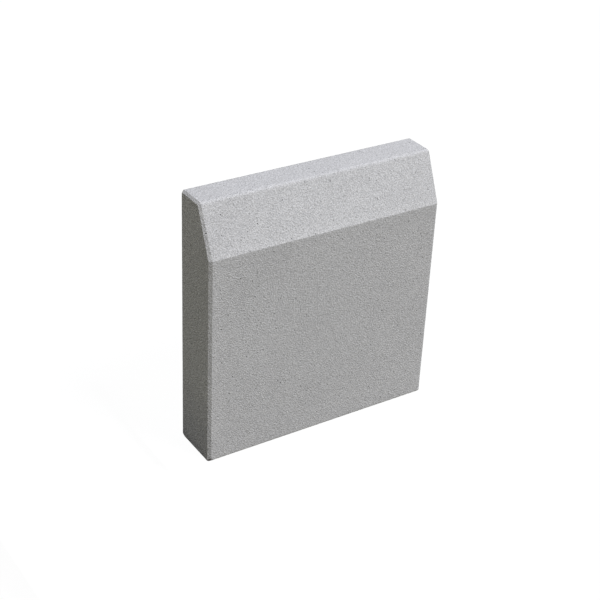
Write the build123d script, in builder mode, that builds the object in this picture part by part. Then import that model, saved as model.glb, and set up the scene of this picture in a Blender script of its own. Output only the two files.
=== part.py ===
from build123d import *
import os

# Concrete kerb stone, cast as one piece and stood on its bedding face.
# Millimetres. X runs along the kerb line, the splayed front faces -Y, Z is up.
# The origin is on the bedding plane, under the middle of the stone.

# Driving dimensions of the block
length = 332.0  # end face to end face
front_height = 286.0  # upright front face, bedding plane to knee
splay_height = 64.0  # rise of the splayed face, knee to top face
splay_depth = 27.5  # setback of the top face behind the front face
top_width = 43.5  # flat top face, nose to back face

# Edges left by the mould
end_bevel = 3.0  # flat bevel up both sides and over the top of each end face
knee_corner = 1.0  # corner radii, measured on the end face inside the bevel
nose_corner = 2.0
back_corner = 2.0
front_foot_corner = 2.0  # radii along the bedding face
back_foot_corner = 10.0

# Worked out from the driving dimensions
height = front_height + splay_height
depth = splay_depth + top_width
front_y = -depth / 2
nose_y = front_y + splay_depth
back_y = depth / 2

# Corners of the section
front_foot = (front_y, 0)
knee = (front_y, front_height)
nose = (nose_y, height)
back_top = (back_y, height)
back_foot = (back_y, 0)

with BuildPart() as kerb_stone:
    with BuildSketch(Plane.YZ) as section:
        with BuildLine():
            Polyline(front_foot, knee, nose, back_top, back_foot, close=True)
        make_face()
        # The bevel runs round these corners, so the long edges are rounder by its width
        for corner, end_radius in ((knee, knee_corner), (nose, nose_corner), (back_top, back_corner)):
            fillet(section.vertices().sort_by_distance(corner)[0], end_radius + end_bevel)
    extrude(amount=length / 2, both=True)

    # Each end is bevelled except along the bedding face
    end_edges = kerb_stone.faces().filter_by(Axis.X).edges()
    bedding_edges = end_edges.group_by(Axis.Z)[0]
    chamfer(end_edges - bedding_edges, end_bevel)

    # The long edges of the bedding face, front and back
    for place, radius in ((0, front_foot_corner), (-1, back_foot_corner)):
        bedding_face = kerb_stone.faces().sort_by(Axis.Z)[0]
        foot_edges = bedding_face.edges().filter_by(Axis.X).sort_by(Axis.Y)
        fillet(foot_edges[place], radius)

kerb_stone.part.label = "kerb_stone"

os.makedirs("parts", exist_ok=True)
export_step(kerb_stone.part, "parts/kerb_stone.step")
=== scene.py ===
import math

import bpy
import numpy as np
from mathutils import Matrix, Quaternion, Vector, kdtree, noise


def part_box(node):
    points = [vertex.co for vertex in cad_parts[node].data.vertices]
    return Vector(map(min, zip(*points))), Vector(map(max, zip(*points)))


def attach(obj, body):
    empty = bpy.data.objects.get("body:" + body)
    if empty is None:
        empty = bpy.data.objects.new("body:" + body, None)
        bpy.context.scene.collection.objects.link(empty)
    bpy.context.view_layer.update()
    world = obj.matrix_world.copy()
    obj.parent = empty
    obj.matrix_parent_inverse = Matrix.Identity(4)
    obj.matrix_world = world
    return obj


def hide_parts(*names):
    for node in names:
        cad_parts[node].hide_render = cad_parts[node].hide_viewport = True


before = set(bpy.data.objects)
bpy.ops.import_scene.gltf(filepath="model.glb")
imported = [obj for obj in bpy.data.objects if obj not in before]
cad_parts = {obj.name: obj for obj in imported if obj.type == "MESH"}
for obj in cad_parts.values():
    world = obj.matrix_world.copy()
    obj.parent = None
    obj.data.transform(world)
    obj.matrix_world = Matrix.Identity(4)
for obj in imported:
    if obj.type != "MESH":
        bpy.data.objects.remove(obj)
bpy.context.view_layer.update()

# Sizes of the cast block, in metres
stone_low, stone_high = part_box("kerb_stone")
length, _, height = stone_high - stone_low
splay_height = 0.064
splay_depth = 0.0275
end_bevel = 0.003
bevel_run_low = 0.0039
bevel_run_high = 0.003

# Corner radii on the end face, inside the bevel, and radii along the bed
knee_corner = 0.001
nose_corner = 0.002
back_corner = 0.002
front_foot_corner = 0.002
back_foot_corner = 0.010
bed_strip = 0.001

# Fineness of the cast skin
skin_step = 0.002
knee_steps = 4
nose_steps = 6
back_steps = 6
front_foot_steps = 8
back_foot_steps = 10
bevel_steps = 2
crisp_edge_angle = math.radians(28)

# Relief of the cast skin, all of it cut inwards
sway_depth = 0.0001
sway_span = 0.085
grain_depth = 0.000004
grain_limit = 2.5
nibble_depth = 0.00012
nibble_span = 0.0038
nibble_share = 0.15
arris_reach = 0.002
relief_seed = 41

# Grain of the cast, turned so that no face lies along its rows
grain_turn = (0.6, 0.35, 0.8)
sand_span = 0.0016
sand_detail = 0.0
sand_contrast = 0.8
end_contrast = 0.45
sand_relief = 0.00053
hue_contrast = 1.8

# Hue of the paste, from grain to grain
cool_grey = (0.497, 0.501, 0.5065, 1.0)
warm_grey = (0.502, 0.4995, 0.496, 1.0)

# Slow mottling of the whole stone
mottle_span = 0.055
mottle_detail = 3.0
mottle_contrast = 0.12
lengthwise_drift = 0.15

# Open pores, darkened in colour as painted shade in the pits
pore_spacing = 0.0055
pore_widest = 0.2
pore_steepness = 14.0
pore_shade = 0.52
pore_relief = 0.0003

# Pale paste: rubbed bare along the arrises, drawn to the splay and the front's left; and painted shade on
# the front just under the knee
rub_start = 0.55
rub_ragged = 0.3
rub_lift = 0.03
knee_band = 0.012
knee_lift = 0.10
splay_share = 0.1
left_band = 0.04
left_lift = 0.055
knee_shade_band = 0.02
knee_shade_drop = 0.03

# Roughness of the paste, what sand and pores add to it and rubbing takes off, and its sheen
paste_roughness = 0.86
sand_roughness = 0.1
pore_roughness = 0.1
rub_smoothing = 0.06
sheen = 0.2

# Painted contact shadow, a dark brown spot at the foot of the front bevel
foot_shadow_place = (-0.1632, -0.0348, 0.0)
foot_shadow_reach = 0.0046
foot_shadow_steepness = 2
foot_shadow_tone = (0.07, 0.055, 0.05, 1.0)

# Photograph's viewpoint
view_azimuth = math.radians(-33.739)
view_elevation = math.radians(30.18)
view_roll = math.radians(2.623)
view_distance = 1.721038
view_aim = Vector((-0.011372, 0.005546, 0.17207))
lens_mm = 81.268
sensor_mm = 36.0

# Studio
floor_side = 60.0
floor_tone = (0.04, 0.04, 0.04)
floor_glow = 0.975
ground_tone = (0.031, 0.02, 0.004)
ground_drop = 0.002
key_direction = Vector((0.125, -0.23, 0.32))
key_strength = 2.541
key_colour = (0.985, 0.987, 1.045)
key_spread = math.radians(20)
horizon_tone = (0.56, 0.553, 0.413)
zenith_tone = (0.518, 0.53, 0.635)
backdrop_tone = (1.0, 1.0, 1.0)

# Low dark flags off the left end: distance, height, and reach to the front and to the back
flags = [(0.051, 0.029, 0.03, 0.2), (0.28, 0.1, 0.2, 0.4)]
flag_tone = (0.01, 0.01, 0.01)


class Reading:
    """A value on a surface. Sums with it add Math nodes to the finish that it belongs to."""

    def __init__(self, finish, socket):
        self.finish = finish
        self.socket = socket

    def sum_up(self, operation, first, second):
        return self.finish.node("ShaderNodeMath", {"operation": operation}, {0: first, 1: second})

    def __add__(self, other):
        return self.sum_up("ADD", self, other)

    def __radd__(self, other):
        return self.sum_up("ADD", other, self)

    def __sub__(self, other):
        return self.sum_up("SUBTRACT", self, other)

    def __rsub__(self, other):
        return self.sum_up("SUBTRACT", other, self)

    def __mul__(self, other):
        return self.sum_up("MULTIPLY", self, other)

    def __rmul__(self, other):
        return self.sum_up("MULTIPLY", other, self)

    def held(self):
        """The value kept between 0 and 1."""
        return self.finish.node("ShaderNodeClamp", sockets={"Value": self})

    def beside(self, output):
        """Another output of the same node."""
        return Reading(self.finish, self.socket.node.outputs[output])


class Finish:
    """The node sheet of one material, or of the studio's dome."""

    def __init__(self, owner):
        self.owner = owner
        owner.use_nodes = True
        self.sheet = owner.node_tree
        self.sheet.nodes.clear()

    def node(self, kind, settings=None, sockets=None, output=0):
        """Adds a node, sets it, feeds its sockets with values or readings, and returns one output."""
        made = self.sheet.nodes.new(kind)
        for name, value in (settings or {}).items():
            setattr(made, name, value)
        for name, value in (sockets or {}).items():
            if isinstance(value, Reading):
                self.sheet.links.new(value.socket, made.inputs[name])
            else:
                made.inputs[name].default_value = value
        return Reading(self, made.outputs[output])

    def tint(self, share, first, second, way="MIX"):
        """Two colours put together."""
        settings = {"data_type": "RGBA", "blend_type": way}
        return self.node("ShaderNodeMix", settings, {0: share, 6: first, 7: second}, output=2)

    def close(self, surface):
        """Sends a shader to the surface, and returns what the sheet belongs to."""
        world = isinstance(self.owner, bpy.types.World)
        end = self.sheet.nodes.new("ShaderNodeOutputWorld" if world else "ShaderNodeOutputMaterial")
        self.sheet.links.new(surface.socket, end.inputs["Surface"])
        return self.owner


def corner_arc(before, corner, after, radius, inset, count):
    """Points round one corner of the section, rounded by the radius and then drawn in by the inset."""
    runs = np.array([corner - before, after - corner])
    normals = np.column_stack((-runs[:, 1], runs[:, 0])) / np.linalg.norm(runs, axis=1)[:, None]
    centre = corner - radius * normals.sum(axis=0) / (1 + normals[0] @ normals[1])
    first, last = np.arctan2(normals[:, 1], normals[:, 0])
    angles = first - (first - last) % (2 * math.pi) * np.linspace(0, 1, count + 1)
    return centre + (radius - inset) * np.column_stack((np.cos(angles), np.sin(angles)))


def foot_arc(edge, radius, inset, count):
    """Points from a foot's outer edge, cut back by the inset, round and along a strip of the bed."""
    first = math.acos(max(1 - inset / radius, 0))
    arc = radius * (math.pi / 2 - first)
    flat_start = max(radius, inset)
    flat_end = max(radius, end_bevel) + bed_strip
    along = np.linspace(0, arc + flat_end - flat_start, count + 1)
    angles = first + np.minimum(along, arc) / radius
    inwards = np.maximum(radius * (1 - np.cos(angles)), inset) + np.maximum(along - arc, 0)
    return np.column_stack((edge - math.copysign(1, edge) * inwards, radius * (1 - np.sin(angles))))


def section_turns(inset):
    """Points round the knee, nose, top back, back foot and front foot, drawn in by the inset."""
    front, back = stone_low.y, stone_high.y
    foot = np.array((front, 0.0))
    knee = np.array((front, height - splay_height))
    nose = np.array((front + splay_depth, height))
    back_top = np.array((back, height))
    back_foot = np.array((back, 0.0))
    return [
        corner_arc(foot, knee, nose, knee_corner + end_bevel, inset, knee_steps),
        corner_arc(knee, nose, back_top, nose_corner + end_bevel, inset, nose_steps),
        corner_arc(nose, back_top, back_foot, back_corner + end_bevel, inset, back_steps),
        foot_arc(back, back_foot_corner, inset, back_foot_steps),
        foot_arc(front, front_foot_corner, inset, front_foot_steps)[::-1],
    ]


def section_steps():
    """Steps along the front, splay, top, back and bed, so that opposite sides of an end face match."""
    turns = section_turns(0.0)
    starts = [turns[-1][-1]] + [turn[-1] for turn in turns[:-1]]
    front, splay, _, _, bed = [
        round(np.linalg.norm(turn[0] - start) / skin_step) for start, turn in zip(starts, turns)
    ]
    tall = front + knee_steps + splay + nose_steps // 2
    wide = back_foot_steps + bed + front_foot_steps
    top = wide - nose_steps // 2 - back_steps // 2
    back = tall - back_steps // 2
    return [front, splay, top, back, bed], tall, wide


def section_loop(steps, inset):
    """Points round the section, drawn in by the inset, from the front foot up and over to the bed."""
    turns = section_turns(inset)
    start = turns[-1][-1]
    points = []
    for turn, count in zip(turns, steps):
        shares = np.arange(count)[:, None] / count
        points.append(start + (turn[0] - start) * shares)
        points.append(turn[:-1])
        start = turn[-1]
    return np.concatenate(points)


def rings_along():
    """Rings from end to end: place along the stone, from -1 to 1, and share of the bevel crossed."""
    ramp = np.linspace(1, 0, bevel_steps + 1)[:-1]
    body = np.linspace(-1, 1, round(length / skin_step) + 1)
    left = [(-1.0, share) for share in ramp]
    right = [(1.0, share) for share in ramp[::-1]]
    return left + [(along, 0.0) for along in body] + right


def ring_points(steps, along, share):
    """Points of one ring. The bevel runs further along the front face than along the top."""
    loop = section_loop(steps, share * end_bevel)
    knee_height = height - splay_height
    runs = np.interp(loop[:, 1], [knee_height, height], [bevel_run_low, bevel_run_high])
    places = along * (length / 2 - runs * (1 - share))
    return np.column_stack((places, loop))


def end_face_grid(loop, tall, wide):
    """Points over an end face, blended from its four sides: rows go up, columns go from front to back."""
    front = loop[: tall + 1]
    top = loop[tall : tall + wide + 1]
    back = loop[tall + wide : 2 * tall + wide + 1][::-1]
    bed = np.vstack((loop[2 * tall + wide :], loop[:1]))[::-1]
    up = np.linspace(0, 1, tall + 1)[:, None, None]
    across = np.linspace(0, 1, wide + 1)[None, :, None]
    sides = front[:, None] * (1 - across) + back[:, None] * across
    ends = bed[None] * (1 - up) + top[None] * up
    low_corners = front[0] * (1 - across) + back[0] * across
    high_corners = front[-1] * (1 - across) + back[-1] * across
    return sides + ends - low_corners * (1 - up) - high_corners * up


def cast_skin():
    """Vertices and quads of the whole block, closed over both ends, and its arris vertices' numbers."""
    steps, tall, wide = section_steps()
    rings = rings_along()
    around = 2 * (tall + wide)
    vertices = [ring_points(steps, along, share) for along, share in rings]
    ring_start = np.arange(len(rings) - 1)[:, None] * around
    here = np.arange(around)[None, :]
    ahead = (here + 1) % around
    next_start = ring_start + around
    band = np.stack((ring_start + here, next_start + here, next_start + ahead, ring_start + ahead), axis=-1)
    quads = [band.reshape(-1, 4)]
    count = len(rings) * around
    rim = section_loop(steps, end_bevel)
    grid = end_face_grid(rim, tall, wide)
    for place, first in ((-length / 2, 0), (length / 2, (len(rings) - 1) * around)):
        numbers = np.zeros((tall + 1, wide + 1), int)
        loop_numbers = first + np.arange(around + 1) % around
        numbers[:, 0] = loop_numbers[: tall + 1]
        numbers[-1, :] = loop_numbers[tall : tall + wide + 1]
        numbers[:, -1] = loop_numbers[tall + wide : 2 * tall + wide + 1][::-1]
        numbers[0, :] = loop_numbers[2 * tall + wide :][::-1]
        inner = grid[1:-1, 1:-1].reshape(-1, 2)
        numbers[1:-1, 1:-1] = count + np.arange(len(inner)).reshape(tall - 1, wide - 1)
        vertices.append(np.column_stack((np.full(len(inner), place), inner)))
        count += len(inner)
        face = np.stack((numbers[:-1, :-1], numbers[1:, :-1], numbers[1:, 1:], numbers[:-1, 1:]), axis=-1)
        quads.append((face if first == 0 else face[..., ::-1]).reshape(-1, 4))
    corner_middles = np.array([0, steps[0] + knee_steps // 2, tall, tall + wide, 2 * tall + wide])
    long_arrises = (np.arange(len(rings))[:, None] * around + corner_middles[None, :]).ravel()
    bevel_rings = [0, bevel_steps, len(rings) - 1 - bevel_steps, len(rings) - 1]
    end_arrises = (np.array(bevel_rings)[:, None] * around + np.arange(around)[None, :]).ravel()
    return np.vstack(vertices), np.vstack(quads), np.concatenate((long_arrises, end_arrises))


def arris_distance(points, arris_numbers):
    """Distance of each vertex from the nearest arris vertex."""
    tree = kdtree.KDTree(len(arris_numbers))
    for number, vertex in enumerate(arris_numbers):
        tree.insert(points[vertex], number)
    tree.balance()
    return np.array([tree.find(point)[2] for point in points])


def skin_relief(points, closeness):
    """Depth that each vertex is cut in: slow sway of the mould, grain, and nibbles along the arrises."""
    draws = np.random.default_rng(relief_seed)
    sway = np.array([noise.noise(Vector(point) / sway_span) for point in points])
    grain = np.clip(draws.normal(size=len(points)), -grain_limit, grain_limit)
    bites = np.array([noise.noise(Vector(point) / nibble_span) for point in points])
    nibble = closeness * np.clip(bites + nibble_share, 0, None)
    return sway_depth * (1 + sway) / 2 + grain_depth * (grain_limit + grain) + nibble_depth * nibble


def cast_stone():
    """The kerb stone's skin as one closed mesh, with what the finish reads stored on its vertices."""
    points, quads, arris_numbers = cast_skin()
    mesh = bpy.data.meshes.new("cast_stone")
    mesh.from_pydata(points.tolist(), [], quads.tolist())
    normals = np.zeros(len(points) * 3, np.float32)
    mesh.vertices.foreach_get("normal", normals)
    normals = normals.reshape(-1, 3)
    closeness = np.exp(-((arris_distance(points, arris_numbers) / arris_reach) ** 2))
    cut = points - normals * skin_relief(points, closeness)[:, None]
    mesh.vertices.foreach_set("co", cut.astype(np.float32).ravel())
    store_reading(mesh, "arris", closeness)
    store_reading(mesh, "paste_lift_and_shade", paste_lift_and_shade(points))
    store_reading(mesh, "end_face", np.isclose(np.abs(points[:, 0]), length / 2))
    mesh.polygons.foreach_set("use_smooth", np.ones(len(quads), bool))
    mesh.set_sharp_from_angle(angle=crisp_edge_angle)
    mesh.update()
    return add_object("cast_stone", mesh)


def store_reading(mesh, name, values):
    """Keeps one number a vertex for the finish."""
    mesh.attributes.new(name, "FLOAT", "POINT").data.foreach_set("value", values.astype(np.float32))


def paste_lift_and_shade(points):
    """How much paler the paste is, most at the splay's foot and the front's left, and how dark the painted
    shade is on the front just under the knee.
    """
    rise = points[:, 2] - (height - splay_height)
    lean = splay_depth / splay_height * np.clip(rise, 0, None)
    on_face = np.abs(points[:, 1] - (stone_low.y + lean)) < end_bevel
    on_splay = on_face & (rise >= 0)
    foot = np.where(on_splay, np.clip(1 - rise / knee_band, splay_share, 1), 0)
    from_left = points[:, 0] - stone_low.x - bevel_run_low
    on_front = on_face & (rise < 0) & (from_left >= 0)
    left = np.where(on_front, np.clip(1 - from_left / left_band, 0, 1), 0)
    # Painted shade on the front just under the knee
    knee_shade = np.where(on_front, np.clip(1 + rise / knee_shade_band, 0, 1), 0)
    return knee_lift * foot + left_lift * left - knee_shade_drop * knee_shade


def add_object(name, data):
    made = bpy.data.objects.new(name, data)
    bpy.context.scene.collection.objects.link(made)
    return made


def concrete_finish():
    """Pressed concrete: sand of mixed tone in grey paste, open pores and paler, smoother arrises."""
    finish = Finish(bpy.data.materials.new("pressed_concrete"))
    place = finish.node("ShaderNodeTexCoord", output="Object")
    turned = finish.node("ShaderNodeMapping", sockets={"Vector": place, "Rotation": grain_turn})

    # Slow mottling, and a drift from end to end
    mottle = finish.node(
        "ShaderNodeTexNoise", sockets={"Vector": place, "Scale": 1 / mottle_span, "Detail": mottle_detail}
    )
    lengthwise = finish.node("ShaderNodeSeparateXYZ", sockets={"Vector": place})
    mottle_tone = 1 + mottle_contrast * (mottle - 0.5) + lengthwise_drift * lengthwise

    # Sand in the paste, which shows more on the end faces
    sand = finish.node(
        "ShaderNodeTexNoise", sockets={"Vector": turned, "Scale": 1 / sand_span, "Detail": sand_detail}
    )
    ends = finish.node("ShaderNodeAttribute", {"attribute_name": "end_face"}, output="Fac")
    sand_tone = 1 + sand_contrast * (1 + end_contrast * ends) * (sand - 0.5)
    sand_colour = sand.beside("Color")
    sand_draw = finish.node("ShaderNodeSeparateColor", sockets={"Color": sand_colour}, output="Blue")
    sand_hue = (0.5 + hue_contrast * (sand_draw - 0.5)).held()

    # Open pores of uneven width, darkened in colour as painted shade in the pits
    pores = finish.node("ShaderNodeTexVoronoi", sockets={"Vector": turned, "Scale": 1 / pore_spacing})
    pore_draw = finish.node("ShaderNodeSeparateColor", sockets={"Color": pores.beside("Color")})
    pore = (pore_steepness * (pore_widest * pore_draw - pores)).held()

    # Paler arrises with a ragged border, the paste that the mould drew to some places, and painted shade on
    # the front just under the knee
    nearness = finish.node("ShaderNodeAttribute", {"attribute_name": "arris"}, output="Fac")
    ragged = nearness + rub_ragged * (sand_hue - 0.5)
    rubbed = ((ragged - rub_start) * (1 / (1 - rub_start))).held()
    drawn = finish.node("ShaderNodeAttribute", {"attribute_name": "paste_lift_and_shade"}, output="Fac")
    lift_and_shade = 1 + rub_lift * rubbed + drawn

    # Painted contact shadow at the foot of the bevel
    away = finish.node(
        "ShaderNodeVectorMath", {"operation": "DISTANCE"}, {0: place, 1: foot_shadow_place}, output="Value"
    )
    foot_shadow = (foot_shadow_steepness * (1 - away * (1 / foot_shadow_reach))).held()

    tone = sand_tone * mottle_tone * lift_and_shade * (1 - pore_shade * pore)
    grey = finish.tint(sand_hue, cool_grey, warm_grey)
    # Mixes in the painted contact shadow at the foot of the front bevel
    colour = finish.tint(foot_shadow, finish.tint(1.0, grey, tone, "MULTIPLY"), foot_shadow_tone)
    roughness = paste_roughness + sand_roughness * sand + pore_roughness * pore - rub_smoothing * rubbed
    relief = sand_relief * sand - pore_relief * pore
    bump = finish.node("ShaderNodeBump", sockets={"Distance": 1.0, "Height": relief})
    shader = finish.node(
        "ShaderNodeBsdfPrincipled",
        sockets={
            "Base Color": colour,
            "Roughness": roughness.held(),
            "Specular IOR Level": sheen,
            "Normal": bump,
        },
    )
    return finish.close(shader)


def plain_finish(name, tone, glow):
    """A plain matt finish for the studio's cards, which may glow."""
    finish = Finish(bpy.data.materials.new(name))
    shader = finish.node(
        "ShaderNodeBsdfPrincipled",
        sockets={
            "Base Color": (*tone, 1.0),
            "Roughness": 1.0,
            "Specular IOR Level": 0.0,
            "Emission Color": (1.0, 1.0, 1.0, 1.0),
            "Emission Strength": glow,
        },
    )
    return finish.close(shader)


def studio_card(name, corners, tone, glow):
    """A plain card of four corners for the studio."""
    mesh = bpy.data.meshes.new(name)
    mesh.from_pydata(corners, [], [(0, 1, 2, 3)])
    mesh.materials.append(plain_finish(name, tone, glow))
    card = add_object(name, mesh)
    return card


def floor_corners(drop):
    half = floor_side / 2
    return [(-half, -half, -drop), (half, -half, -drop), (half, half, -drop), (-half, half, -drop)]


def lay_floor():
    """The pale floor that the camera sees, over the darker ground that throws light back at the stone."""
    floor = studio_card("pale_floor", floor_corners(0.0), floor_tone, floor_glow)
    floor.visible_diffuse = False
    floor.visible_glossy = False
    floor.visible_shadow = False
    studio_card("dark_ground", floor_corners(ground_drop), ground_tone, 0.0)


def stand_flags():
    """Dark flags, out of the camera's sight, that shade the foot of the left end."""
    for distance, rise, forward, backward in flags:
        x = stone_low.x - distance
        corners = [(x, -forward, 0.0), (x, backward, 0.0), (x, backward, rise), (x, -forward, rise)]
        studio_card("end_flag", corners, flag_tone, 0.0).visible_camera = False


def light_studio():
    """A broad key light from the front right, and a dome, cooler overhead, behind a pale backdrop."""
    lamp = bpy.data.lights.new("key_light", "SUN")
    lamp.energy = key_strength
    lamp.color = key_colour
    lamp.angle = key_spread
    key = add_object("key_light", lamp)
    key.rotation_mode = "QUATERNION"
    key.rotation_quaternion = key_direction.to_track_quat("Z", "Y")
    dome = Finish(bpy.data.worlds.new("studio_dome"))
    seen = dome.node("ShaderNodeLightPath", output="Is Camera Ray")
    toward = dome.node("ShaderNodeTexCoord", output="Generated")
    rise = dome.node("ShaderNodeSeparateXYZ", sockets={"Vector": toward}, output="Z")
    sky = dome.tint(rise.held(), (*horizon_tone, 1.0), (*zenith_tone, 1.0))
    shown = dome.tint(seen, sky, (*backdrop_tone, 1.0))
    bpy.context.scene.world = dome.close(dome.node("ShaderNodeBackground", sockets={"Color": shown}))


def stand_camera():
    """The camera at the photograph's viewpoint."""
    lens = bpy.data.cameras.new("viewpoint")
    lens.lens = lens_mm
    lens.sensor_width = sensor_mm
    camera = add_object("viewpoint", lens)
    level = math.cos(view_elevation)
    back = Vector(
        (math.sin(view_azimuth) * level, -math.cos(view_azimuth) * level, math.sin(view_elevation))
    )
    camera.location = view_aim + back * view_distance
    camera.rotation_mode = "QUATERNION"
    camera.rotation_quaternion = back.to_track_quat("Z", "Y") @ Quaternion((0, 0, 1), view_roll)
    bpy.context.scene.camera = camera


stone = cast_stone()
stone.data.materials.append(concrete_finish())
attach(stone, "root")
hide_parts("kerb_stone")
lay_floor()
stand_flags()
light_studio()
stand_camera()
bpy.context.scene.view_settings.view_transform = "Standard"
